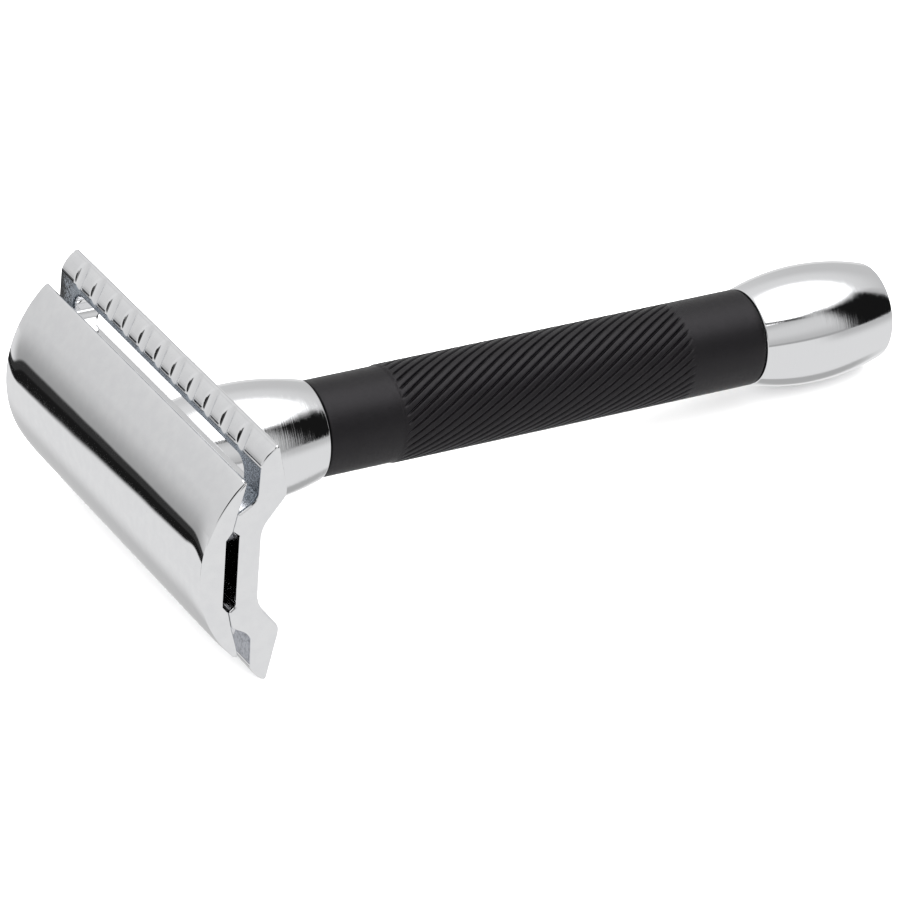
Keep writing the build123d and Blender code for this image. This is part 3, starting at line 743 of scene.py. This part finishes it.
def make_grip():
    """Sleeve with slanting ribs between two plain bands, as one skin."""
    # Places across one rib, from crest to crest, closest together over the groove.
    half_rib = [0.14, 0.26, 0.31, 0.36, 0.41, 0.46]
    rib_phases = np.array([0, *half_rib, 0.5, *(1 - phase for phase in reversed(half_rib))])
    columns = RIB_COUNT * len(rib_phases)
    around = (np.arange(RIB_COUNT)[:, None] + rib_phases).reshape(1, -1) * tau / RIB_COUNT
    chamfer = 0.12
    stations = [NECK_END + gap for gap in (0.02, 0.1, 0.18, 0.21, 0.24, 0.27, 0.31, 0.37, 0.45)]
    stations += list(np.linspace(16.6, RIB_START - 0.3, 12))
    stations += list(np.linspace(RIB_START - 0.2, RIB_START + 1.3, 22))
    stations += list(np.linspace(RIB_START + 1.6, RIB_END - 1.6, 96))
    stations += list(np.linspace(RIB_END - 1.3, RIB_END + 0.2, 22))
    stations += list(np.linspace(RIB_END + 0.5, SLEEVE_END - 0.6, 10))
    stations += [SLEEVE_END - chamfer, SLEEVE_END - 0.04, SLEEVE_END]
    x = np.array(stations)[:, None]
    angle = RIB_PHASE + RIB_TWIST * x + around
    to_groove = np.abs(np.tile(rib_phases, RIB_COUNT)[None, :] - 0.5)
    groove = 1 - smooth(to_groove, 0.01, 0.24)
    rise = smooth(x, RIB_START - 0.05, RIB_START + 0.3)
    cut_in = smooth(x, RIB_START, RIB_START + 1.0) * smooth(x, RIB_END, RIB_END - 0.9)
    radius = BAND_RADIUS + (RIB_CREST_RADIUS - BAND_RADIUS) * rise - RIB_DEPTH * groove * cut_in
    edge = 0.36 * (1 - smooth(x, NECK_END + 0.18, NECK_END + 0.3))
    edge += 0.03 * (1 - smooth(x, NECK_END + 0.26, NECK_END + 0.45))
    to_chamfer = 1 - np.clip((SLEEVE_END - x) / chamfer, 0, 1)
    edge += 0.1 * (1 - np.sqrt(1 - to_chamfer**2))
    # The skin goes out to the rear end and comes back along the bore.
    bore = np.array([[SLEEVE_END], [NECK_END + 0.02]])
    x = np.concatenate([x, bore])
    angle = np.concatenate([angle, RIB_PHASE + RIB_TWIST * bore + around])
    radius = np.concatenate([radius - edge, np.full((2, columns), SLEEVE_BORE)])
    points = np.stack([x + 0 * radius, radius * np.sin(angle), radius * np.cos(angle)], -1)
    faces = grid_faces(len(x), columns, closed_rows=True)[:, ::-1]
    points = points.reshape(-1, 3)
    piece("grip_sleeve", points, faces, None, COATING, "handle", ["handle_sleeve"])


# =============================================================================== knob
def make_knob():
    """Turned twist knob, bored for the rod and recessed for its end plug."""
    front = barrel_radius(KNOB_START, KNOB_BULGE, KNOB_ARC_RADIUS)
    rear = barrel_radius(KNOB_END, KNOB_BULGE, KNOB_ARC_RADIUS)
    rim = 0.3
    outline = barrel(KNOB_START, KNOB_END - rim, KNOB_BULGE, KNOB_ARC_RADIUS)
    outline[0] = (KNOB_START, front)
    outline += [
        (KNOB_END - rim * 0.62, rear + 0.05),
        (KNOB_END - rim * 0.3, rear - rim * 0.16),
        (KNOB_END - rim * 0.08, rear - rim * 0.55),
        (KNOB_END, rear - rim),
        (KNOB_END, PLUG_RECESS_RADIUS),
        (PLUG_RECESS_FLOOR, PLUG_RECESS_RADIUS),
        (PLUG_RECESS_FLOOR, SCREW_BORE_RADIUS),
        (ROD_BORE_END, SCREW_BORE_RADIUS),
        (ROD_BORE_END, ROD_BORE_RADIUS),
        (WASHER_RECESS_END, ROD_BORE_RADIUS),
        (WASHER_RECESS_END, WASHER_RECESS_RADIUS),
        (KNOB_START, WASHER_RECESS_RADIUS),
    ]
    turning("knob_turning", rounded(outline, 0.1), TURNED, "knob", ["knob"])


# ============================================================ CAD nodes that are shown
def dress(material, *nodes):
    for name in nodes:
        made = frame["nodes"][name]
        made.data.materials.clear()
        made.data.materials.append(material)


make_cap()
make_plate()
make_neck()
make_grip()
make_knob()
dress(TURNED, "knob_end_plug")
dress(
    STEEL,
    "cap_stud",
    "locating_pin_left",
    "locating_pin_right",
    "core_tube",
    "rod_pin",
    "drive_rod",
    "retaining_clip",
    "disc_spring",
    "knob_screw",
)
dress(BRASS, "plate_bush", "front_bush", "rear_bush", "drive_nut")
dress(NYLON, "thrust_washer", "front_washer")
dress(RUBBER, "rod_seal")


# ============================================================================= studio
def make_floor():
    """Plain pale table. Chrome mirrors the studio instead of it."""
    size = 4.0
    mesh = bpy.data.meshes.new("floor")
    corners = [(-size, -size, 0), (size, -size, 0), (size, size, 0), (-size, size, 0)]
    mesh.from_pydata(corners, [], [(0, 1, 2, 3)])
    material, nodes = new_material("pale_table")
    cloud = nodes.noise(nodes.new("ShaderNodeTexCoord").outputs["Object"], 6.0, 3.0)
    colour = nodes.mix_colour(cloud, (0.90, 0.90, 0.90, 1), (0.92, 0.92, 0.92, 1))
    shader = nodes.new("ShaderNodeBsdfDiffuse", {"Color": colour})
    nodes.new("ShaderNodeOutputMaterial", {"Surface": shader.outputs[0]})
    mesh.materials.append(material)
    floor = bpy.data.objects.new("floor", mesh)
    bpy.context.scene.collection.objects.link(floor)
    floor.visible_glossy = False


def make_studio():
    """Soft studio all round: white overhead, grey walls, a pale table and dark cards."""
    world = bpy.data.worlds.new("studio")
    bpy.context.scene.world = world
    world.use_nodes = True
    nodes = Nodes(world.node_tree)
    direction = nodes.new("ShaderNodeTexCoord").outputs["Generated"]
    x, y, z = nodes.new("ShaderNodeSeparateXYZ", {0: direction}).outputs
    turn = nodes.math("MULTIPLY", nodes.math("ARCTAN2", y, x), 180 / pi)
    azimuth = nodes.math("MODULO", nodes.math("ADD", turn, 360), 360)
    swing = nodes.math("MODULO", nodes.math("ADD", turn, 450), 360)  # azimuth + 90, for cards across 0
    rise = nodes.math("MULTIPLY", nodes.math("ARCSINE", z), 180 / pi)

    def window(value, low, high, soft_low, soft_high):
        """1 from low to high, with soft edges of these widths."""
        up = nodes.ramp(value, low - soft_low / 2, low + soft_low / 2)
        down = nodes.ramp(value, high - soft_high / 2, high + soft_high / 2, 1.0, 0.0)
        return nodes.math("MULTIPLY", up, down)

    def slanted(middle, gradient):
        """Elevation measured from a line that tilts with azimuth."""
        offset = nodes.math("SUBTRACT", azimuth, middle)
        return nodes.math("ADD", rise, nodes.math("MULTIPLY", offset, gradient))

    def card(level, value, *windows):
        """level with value laid over it where all the windows meet."""
        mask = windows[0]
        for other in windows[1:]:
            mask = nodes.math("MULTIPLY", mask, other)
        return nodes.mix(mask, level, value)

    # Walls that lighten towards the ceiling, with a duller stretch round azimuth 30.
    level = nodes.ramp(rise, 10, 56, 0.645, 0.755)
    level = card(level, 0.56, window(swing, 82, 158, 14, 24), window(rise, -3, 30, 2, 18))
    # White softbox overhead, with a sharp side at azimuth -88 and fading out by azimuth 60.
    fade = nodes.ramp(swing, 84, 150, smooth=False)
    spread = nodes.math("MULTIPLY", fade, 16.0)
    past_edge = nodes.math("SUBTRACT", nodes.math("SUBTRACT", rise, spread), 42)
    reach = nodes.ramp(nodes.math("DIVIDE", past_edge, nodes.math("ADD", spread, 3)), -0.5, 0.5)
    level = card(level, 2.3, window(swing, 2.5, 150, 4, 30), reach)
    # Table below the horizon.
    front = nodes.ramp(rise, -4, -18, 0.5, 0.74)
    table = card(0.755, front, window(azimuth, 298, 345, 16, 10), window(rise, -19, -1, 4, 2))
    table = card(table, 0.52, window(azimuth, 66, 104, 16, 22), window(rise, -62, -36, 12, 10))
    table = card(table, 0.85, window(azimuth, 22, 62, 12, 8), window(rise, -52, -33, 6, 8))
    table = card(table, 0.42, window(swing, 84, 142, 12, 12), window(rise, -90, -53, 2, 8))
    level = nodes.mix(nodes.ramp(rise, -3.2, -1.8), table, level)
    # Dark strip in front of the cap. Its line climbs with azimuth and flattens at both ends.
    middle = nodes.new("ShaderNodeMath", {0: azimuth, 1: 120.5, 2: 4.0}, operation="SMOOTH_MAX").outputs[0]
    middle = nodes.new("ShaderNodeMath", {0: middle, 1: 130.5, 2: 4.0}, operation="SMOOTH_MIN").outputs[0]
    climb = nodes.math("MULTIPLY", nodes.math("SUBTRACT", middle, 128), 1.1)
    bend = nodes.math("MULTIPLY", nodes.math("SUBTRACT", azimuth, middle), 0.8)
    cap_line = nodes.math("SUBTRACT", rise, nodes.math("SUBTRACT", climb, bend))
    above_strip = nodes.ramp(cap_line, -9.5, 7, 0.34, 0.60)
    level = card(level, above_strip, window(azimuth, 122, 138, 6, 12), window(cap_line, -10, 9, 1, 6))
    cap_reach = window(azimuth, 106, 150, 8, 8)
    level = card(level, 0.033, cap_reach, window(cap_line, -14, -9.4, 0.8, 1.4))
    level = card(level, 0.010, cap_reach, window(cap_line, -16.6, -12.8, 1.3, 0.8))
    # Dark card behind the camera.
    level = card(level, 0.012, window(azimuth, 194, 256, 8, 6), window(rise, 14, 39.0, 5, 2.5))
    # Grey panel and dark card to the camera's right.
    panel_level = nodes.ramp(rise, 2, 20, 0.50, 0.655)
    panel_level = nodes.math("MULTIPLY", panel_level, nodes.ramp(rise, 28, 43, 1.0, 0.74))
    level = card(level, panel_level, window(azimuth, 262, 312, 5, 4), window(rise, 1.2, 43.5, 1.5, 2))
    level = card(level, 0.37, window(azimuth, 262, 309, 5, 4), window(rise, -2.2, 1.5, 1.5, 1.5))
    above_panel = window(slanted(272, 0.4), 46.5, 51.5, 2.5, 3)
    level = card(level, 0.035, window(azimuth, 266, 296, 3, 9), above_panel)
    level = card(level, 0.49, window(azimuth, 345, 359, 2, 4), window(rise, -1, 34, 2, 6))
    level = card(level, 0.008, window(azimuth, 309.5, 350.5, 8, 3), window(rise, -1.5, 37.8, 1.2, 3))
    # Matt surfaces get an even fill, and the camera sees plain white.
    rays = nodes.new("ShaderNodeLightPath").outputs
    level = nodes.mix(rays["Is Diffuse Ray"], level, TABLE_FILL)
    level = nodes.mix(rays["Is Camera Ray"], level, 1.0)
    background = nodes.new("ShaderNodeBackground", {"Color": (1, 1, 1, 1), "Strength": level})
    nodes.new("ShaderNodeOutputWorld", {"Surface": background.outputs[0]})


def make_softbox():
    """One large soft light overhead, which chrome doesn't show twice."""
    light = bpy.data.lights.new("softbox", "AREA")
    light.shape = "RECTANGLE"
    light.size, light.size_y = 0.9, 0.7
    light.energy = 1.0
    box = bpy.data.objects.new("softbox", light)
    box.location = (0.15, -0.1, 0.8)
    box.rotation_euler = (Vector((0, 0, 0.01)) - box.location).to_track_quat("-Z", "Y").to_euler()
    box.visible_glossy = False
    bpy.context.scene.collection.objects.link(box)


def make_camera():
    """A long lens at the viewpoint given above."""
    data = bpy.data.cameras.new("camera")
    data.lens = CAMERA_LENS
    data.clip_start, data.clip_end = 0.01, 20
    camera = bpy.data.objects.new("camera", data)
    camera.location = Vector(place([CAMERA_PLACE])[0])
    look = Vector(aim([CAMERA_LOOK])[0])
    up = Vector(aim([CAMERA_UP])[0])
    right = look.cross(up).normalized()
    true_up = right.cross(look).normalized()
    camera.rotation_mode = "QUATERNION"
    camera.rotation_quaternion = Matrix((right, true_up, -look)).transposed().to_quaternion()
    bpy.context.scene.collection.objects.link(camera)
    bpy.context.scene.camera = camera


make_floor()
make_studio()
make_softbox()
make_camera()
bpy.context.scene.view_settings.view_transform = "Standard"
